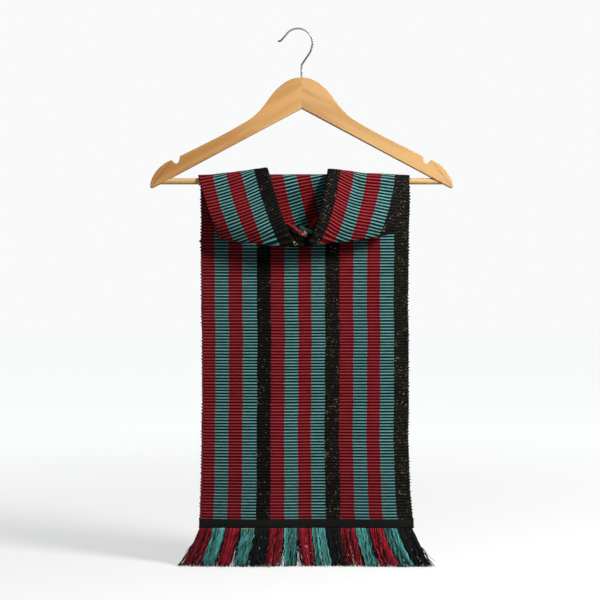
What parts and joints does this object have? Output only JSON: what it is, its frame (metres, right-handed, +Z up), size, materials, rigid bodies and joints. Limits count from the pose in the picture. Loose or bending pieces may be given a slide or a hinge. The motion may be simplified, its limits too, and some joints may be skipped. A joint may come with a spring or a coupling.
{
  "type": "fringed scarf on a wooden hanger",
  "caption": "Striped, ribbed scarf with fringed ends, folded in half over the round bar of a flat wooden hanger with a wire hook.",
  "frame": {"origin": "the inner top of the hook's arc, where a rail carries it", "axes": "+Z up, +X to the right seen from the front, the front with the folded cowl faces -Y"},
  "size_m": [0.4474, 0.0599, 0.7957],
  "materials": {
    "hook_steel": "bright wire",
    "hanger_wood": "satin lacquer",
    "bar_wood": "plain sanded",
    "striped_cloth": "warp-faced rib weave in dark red, teal and black stripes",
    "gathered_cloth": "the same weave, bunched",
    "header_cloth": "plain black weave",
    "fringe_yarn": "loose warp ends in the stripe colours"
  },
  "bodies": {
    "root": {"hook": "hook_steel", "hanger_arm_left": "hanger_wood", "hanger_arm_right": "hanger_wood", "hanger_bar": "bar_wood", "front_tail": "striped_cloth", "back_tail": "striped_cloth", "inner_lap": "striped_cloth", "cowl_left_flap": "striped_cloth", "cowl_middle": "striped_cloth", "cowl_right_flap": "striped_cloth", "cowl_gather": "gathered_cloth", "front_header": "header_cloth", "back_header": "header_cloth", "front_fringe": "fringe_yarn", "back_fringe": "fringe_yarn"}
  },
  "joints": []
}
